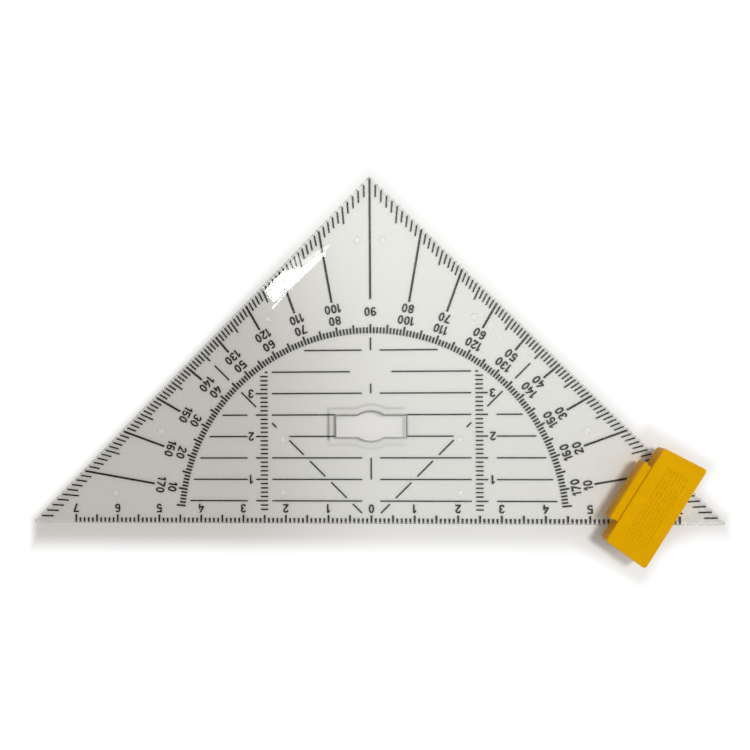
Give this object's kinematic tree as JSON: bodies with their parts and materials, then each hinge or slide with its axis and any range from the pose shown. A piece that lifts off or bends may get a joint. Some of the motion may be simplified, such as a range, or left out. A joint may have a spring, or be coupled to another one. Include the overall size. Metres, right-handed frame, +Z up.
{
  "type": "drafting triangle",
  "caption": "Clear flat 45-45-90 set square with a printed protractor and centimetre scales, and the loose grip that belongs in its middle slot.",
  "frame": {"origin": "zero mark of the long edge, in the printed underside of the plate", "axes": "+X along the long edge towards its right-hand end, +Y from the long edge to the right angle, +Z up through the plate's thickness"},
  "size_m": [0.1588, 0.0883, 0.0074],
  "materials": {
    "clear_plastic": "clear, polished, with fine scuffs from use",
    "yellow_plastic": "opaque moulded plastic with a soft satin shine",
    "black_ink": "thin matt printed film"
  },
  "bodies": {
    "triangle": {"plate": "clear_plastic", "long_edge_ticks": "black_ink", "long_edge_numerals": "black_ink", "left_leg_degree_ticks": "black_ink", "right_leg_degree_ticks": "black_ink", "arc_degree_ticks": "black_ink", "degree_rays": "black_ink", "outer_degree_numerals": "black_ink", "inner_degree_numerals": "black_ink", "parallel_lines": "black_ink", "left_height_scale": "black_ink", "right_height_scale": "black_ink", "height_numerals": "black_ink", "centre_line": "black_ink", "diagonal_lines": "black_ink"},
    "grip": {"grip": "yellow_plastic"}
  },
  "joints": [
    {"name": "grip_lift", "type": "slide", "parent": "triangle", "child": "grip", "axis": [0, 0, 1], "range_m": [0, 0.04]}
  ]
}
